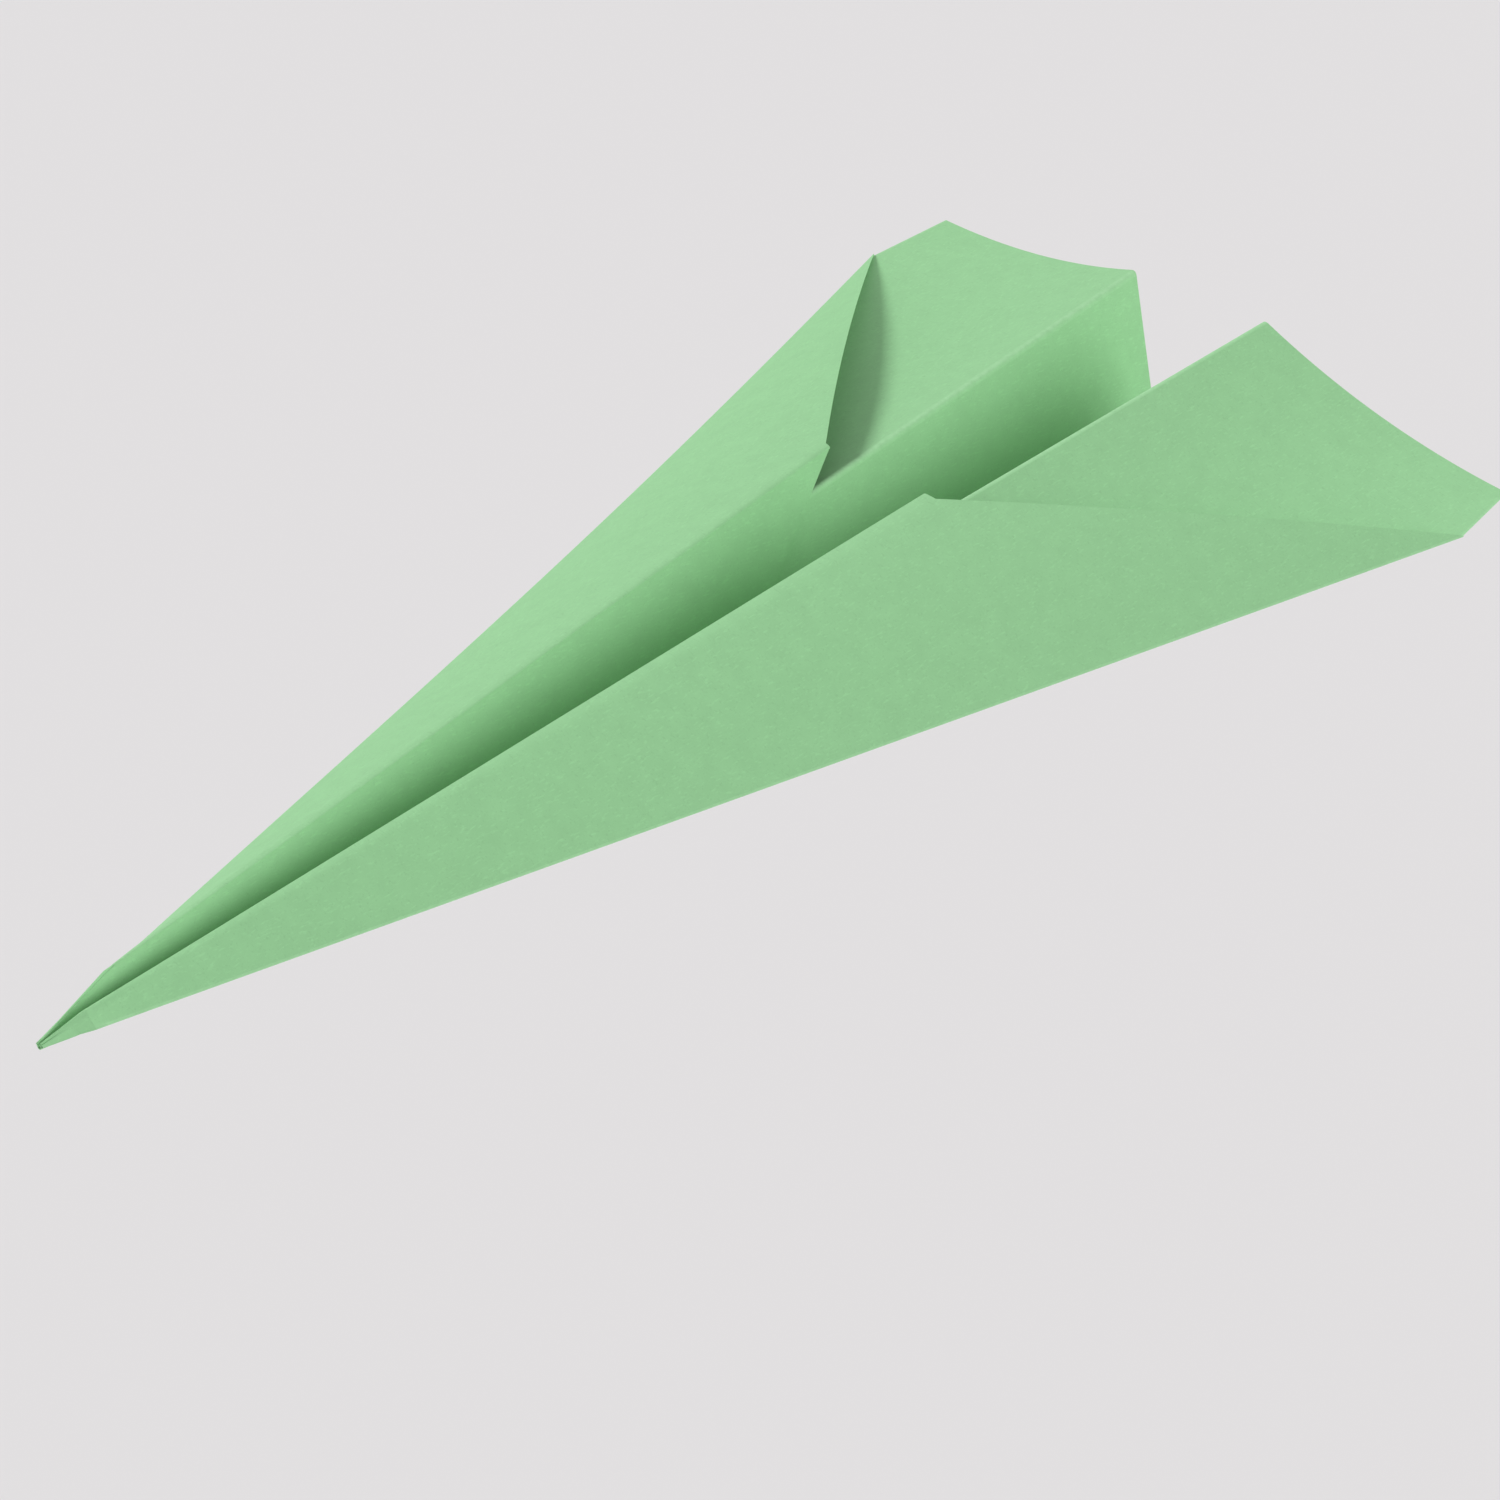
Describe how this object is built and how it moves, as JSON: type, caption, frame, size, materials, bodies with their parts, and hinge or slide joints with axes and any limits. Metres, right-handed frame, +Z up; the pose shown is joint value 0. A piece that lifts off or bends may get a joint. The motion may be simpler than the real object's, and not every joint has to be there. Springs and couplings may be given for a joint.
{
  "type": "paper airplane",
  "caption": "Classic folded paper dart with a V keel, two swept wings and folded-in flaps, modelled panel by panel between its creases.",
  "frame": {"origin": "on the keel, at the bottom and at mid-length, in the middle of the box", "axes": "+Z up with the keel down, the nose towards -Y, the plane's own left wing towards +X"},
  "size_m": [0.1372, 0.2904, 0.0525],
  "materials": {
    "green_paper": "matte"
  },
  "bodies": {
    "left_keel": {"left_keel_wall": "green_paper", "left_keel_corner_layer": "green_paper"},
    "left_wing": {"left_wing_panel": "green_paper", "left_wing_corner_layer": "green_paper"},
    "left_flap": {"left_flap_panel": "green_paper", "left_flap_lining": "green_paper"},
    "left_tuck": {"left_tuck_panel": "green_paper", "left_tuck_lining": "green_paper"},
    "right_keel": {"right_keel_wall": "green_paper", "right_keel_corner_layer": "green_paper"},
    "right_wing": {"right_wing_panel": "green_paper", "right_wing_corner_layer": "green_paper"},
    "right_flap": {"right_flap_panel": "green_paper", "right_flap_lining": "green_paper"},
    "right_tuck": {"right_tuck_panel": "green_paper", "right_tuck_lining": "green_paper"}
  },
  "joints": [
    {"name": "keel_fold", "type": "hinge", "parent": "left_keel", "child": "right_keel", "pos_m": [0.00155, -0.14523, 0.00014], "axis": [0, -1, 0], "range_deg": [-21, 59], "stiffness_Nm_per_rad": 0.02},
    {"name": "left_wing_fold", "type": "hinge", "parent": "left_keel", "child": "left_wing", "pos_m": [0.00301, -0.13693, 0.0033], "axis": [0.0484, 0.9835, 0.1745], "range_deg": [-33, 67], "stiffness_Nm_per_rad": 0.01},
    {"name": "left_flap_lift", "type": "hinge", "parent": "left_wing", "child": "left_flap", "pos_m": [0.00097, -0.14567, 0.00276], "axis": [0.2392, 0.967, 0.0877], "range_deg": [-9.4, 4.65]},
    {"name": "left_tuck_slide", "type": "hinge", "parent": "left_keel", "child": "left_tuck", "pos_m": [0.00155, -0.14523, 0.00014], "axis": [0.9636, 0, -0.2672], "range_deg": [-1.88, 0.93]},
    {"name": "right_wing_fold", "type": "hinge", "parent": "right_keel", "child": "right_wing", "pos_m": [-0.00076, -0.12923, 0.00637], "axis": [0.0476, -0.984, -0.1718], "range_deg": [-18.5, 81.5], "stiffness_Nm_per_rad": 0.01},
    {"name": "right_flap_lift", "type": "hinge", "parent": "right_wing", "child": "right_flap", "pos_m": [0.00363, -0.14586, 0.00432], "axis": [0.2557, -0.9574, -0.1344], "range_deg": [-8.3, 1.9]},
    {"name": "right_tuck_slide", "type": "hinge", "parent": "right_keel", "child": "right_tuck", "pos_m": [0.00155, -0.14523, 0.00014], "axis": [0.9636, 0, 0.2672], "range_deg": [-1.61, 0.38]}
  ],
  "couplings": [
    {"joint": "left_flap_lift", "follows": "left_wing_fold", "ratio": -0.14029},
    {"joint": "left_tuck_slide", "follows": "left_wing_fold", "ratio": -0.02772},
    {"joint": "right_flap_lift", "follows": "right_wing_fold", "ratio": -0.10184},
    {"joint": "right_tuck_slide", "follows": "right_wing_fold", "ratio": -0.01957}
  ]
}
